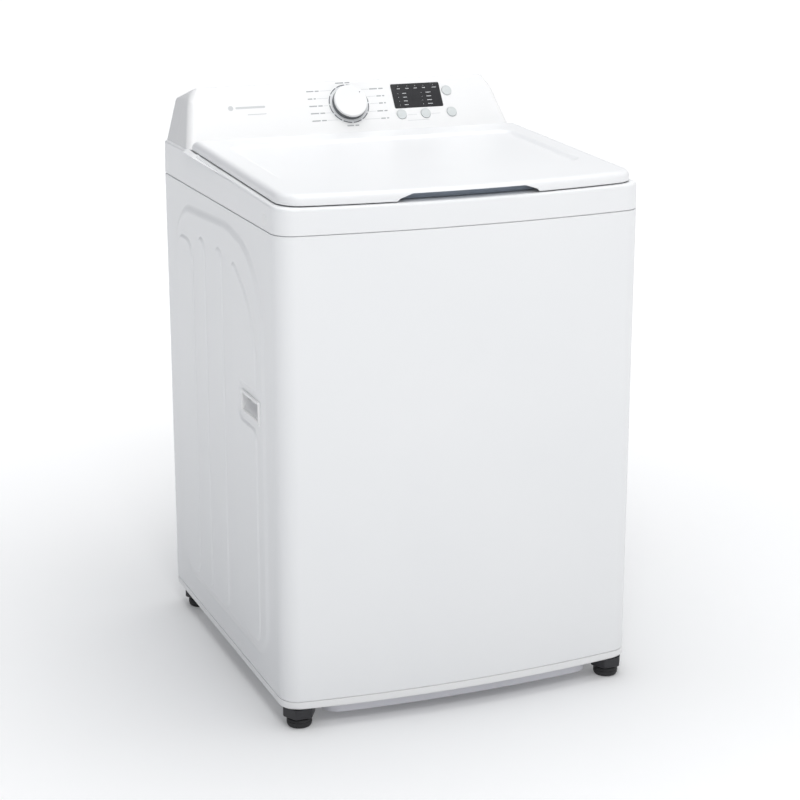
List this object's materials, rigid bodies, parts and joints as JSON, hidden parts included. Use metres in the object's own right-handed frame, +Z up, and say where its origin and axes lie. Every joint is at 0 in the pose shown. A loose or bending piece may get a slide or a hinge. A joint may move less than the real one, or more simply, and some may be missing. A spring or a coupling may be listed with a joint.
{
  "type": "top load washing machine",
  "caption": "Free-standing top-loading clothes washer: bowed enamelled cabinet, lift-up lid with finger notch, sloping rear console with knob, buttons and display, hanging tub and spin basket.",
  "frame": {"origin": "middle of the footprint (hose connectors included), on the floor under the feet", "axes": "+Z up, front and lid handle towards -Y, +X to the right of a person facing the front"},
  "size_m": [0.695, 0.73, 1.0688],
  "materials": {
    "white_enamel": "gloss",
    "white_plastic": "gloss",
    "galvanised": "satin",
    "stainless": "brushed",
    "steel": "satin",
    "black_plastic": "matte",
    "black_rubber": "matte",
    "grey_plastic": "matte",
    "light_plastic": "satin",
    "display_black": "gloss",
    "silver_trim": "polished",
    "button_grey": "satin",
    "board_green": "matte",
    "cast_aluminium": "cast"
  },
  "bodies": {
    "cabinet": {"cabinet_wrap": "white_enamel", "rear_panel": "galvanised", "base_frame": "white_plastic", "base_pan": "galvanised", "top_cover": "white_enamel", "side_plugs": "white_plastic", "console_fascia": "white_plastic", "console_rear": "white_plastic", "display_window": "display_black", "knob_ring": "silver_trim", "control_board": "board_green", "selector_encoder": "black_plastic", "inlet_valve": "light_plastic", "fill_flume": "light_plastic", "dispenser_cup": "light_plastic", "drain_outlet": "black_plastic", "cord_gland": "black_plastic", "lid_lock_housing": "black_plastic", "hinge_brackets": "steel", "suspension_rods": "steel", "rod_cups": "galvanised", "suspension_springs": "steel", "cabinet_screws": "steel", "foot_collars": "black_plastic", "handle_cup_left": "white_plastic", "handle_cup_right": "white_plastic"},
    "lid": {"lid_outer": "white_enamel", "lid_liner": "white_plastic", "lid_hinge_pins": "steel", "lid_bumpers": "black_rubber", "lid_strike": "steel"},
    "lock": {"lock_bolt": "steel"},
    "tub": {"outer_tub": "grey_plastic", "tub_ring": "grey_plastic", "gear_case": "cast_aluminium", "tub_bearings": "steel", "motor_bracket": "galvanised", "motor_body": "cast_aluminium", "drive_belt": "black_rubber", "drain_pump": "grey_plastic"},
    "basket": {"basket_wall": "stainless", "basket_base": "grey_plastic", "balance_ring": "grey_plastic", "spin_tube": "steel"},
    "wash_drive": {"impeller": "light_plastic", "impeller_cap": "light_plastic", "wash_shaft": "steel", "drive_pulley": "cast_aluminium"},
    "motor_rotor": {"motor_pulley": "steel"},
    "pump": {"pump_rotor": "black_plastic"},
    "knob": {"selector_knob": "white_plastic", "knob_skirt": "silver_trim"},
    "button_start": {"button_start": "button_grey"},
    "button_temp": {"button_temp": "button_grey"},
    "button_spin": {"button_spin": "button_grey"},
    "button_soil": {"button_soil": "button_grey"},
    "foot_front_left": {"foot_front_left": "black_rubber"},
    "foot_front_right": {"foot_front_right": "black_rubber"},
    "foot_back_left": {"foot_back_left": "black_rubber"},
    "foot_back_right": {"foot_back_right": "black_rubber"}
  },
  "joints": [
    {"name": "lid_hinge", "type": "hinge", "parent": "cabinet", "child": "lid", "pos_m": [0, 0.1698, 0.96058], "axis": [-1, 0, 0], "range_deg": [0, 92]},
    {"name": "lock_slide", "type": "slide", "parent": "cabinet", "child": "lock", "axis": [-1, 0, 0], "range_m": [0, 0.008], "stiffness_N_per_m": 150, "springref_m": -0.004},
    {"name": "tub_bounce", "type": "slide", "parent": "cabinet", "child": "tub", "axis": [0, 0, 1], "range_m": [-0.02, 0.01], "stiffness_N_per_m": 14000, "springref_m": 0.02033, "deforming": ["suspension_springs"]},
    {"name": "basket_spin", "type": "hinge", "parent": "tub", "child": "basket", "pos_m": [0, -0.015, 0.5], "axis": [0, 0, 1], "continuous": true},
    {"name": "impeller_spin", "type": "hinge", "parent": "tub", "child": "wash_drive", "pos_m": [0, -0.015, 0.35], "axis": [0, 0, 1], "continuous": true},
    {"name": "motor_spin", "type": "hinge", "parent": "tub", "child": "motor_rotor", "pos_m": [0, 0.17, 0.2], "axis": [0, 0, 1], "continuous": true},
    {"name": "pump_spin", "type": "hinge", "parent": "tub", "child": "pump", "pos_m": [-0.15, -0.13, 0.27], "axis": [0, 0, 1], "continuous": true},
    {"name": "knob_turn", "type": "hinge", "parent": "cabinet", "child": "knob", "pos_m": [0.0035, 0.24224, 1.02696], "axis": [0, -0.8377, 0.5461], "continuous": true},
    {"name": "press_start", "type": "slide", "parent": "cabinet", "child": "button_start", "axis": [0, 0.8377, -0.5461], "range_m": [0, 0.0015], "stiffness_N_per_m": 400, "springref_m": -0.0008},
    {"name": "press_temp", "type": "slide", "parent": "cabinet", "child": "button_temp", "axis": [0, 0.8377, -0.5461], "range_m": [0, 0.0015], "stiffness_N_per_m": 400, "springref_m": -0.0008},
    {"name": "press_spin", "type": "slide", "parent": "cabinet", "child": "button_spin", "axis": [0, 0.8377, -0.5461], "range_m": [0, 0.0015], "stiffness_N_per_m": 400, "springref_m": -0.0008},
    {"name": "press_soil", "type": "slide", "parent": "cabinet", "child": "button_soil", "axis": [0, 0.8377, -0.5461], "range_m": [0, 0.0015], "stiffness_N_per_m": 400, "springref_m": -0.0008},
    {"name": "level_front_left", "type": "slide", "parent": "cabinet", "child": "foot_front_left", "axis": [0, 0, -1], "range_m": [-0.006, 0.012]},
    {"name": "level_front_right", "type": "slide", "parent": "cabinet", "child": "foot_front_right", "axis": [0, 0, -1], "range_m": [-0.006, 0.012]},
    {"name": "level_back_left", "type": "slide", "parent": "cabinet", "child": "foot_back_left", "axis": [0, 0, -1], "range_m": [-0.006, 0.012]},
    {"name": "level_back_right", "type": "slide", "parent": "cabinet", "child": "foot_back_right", "axis": [0, 0, -1], "range_m": [-0.006, 0.012]}
  ],
  "couplings": [
    {"joint": "motor_spin", "follows": "impeller_spin", "ratio": 3.4}
  ]
}
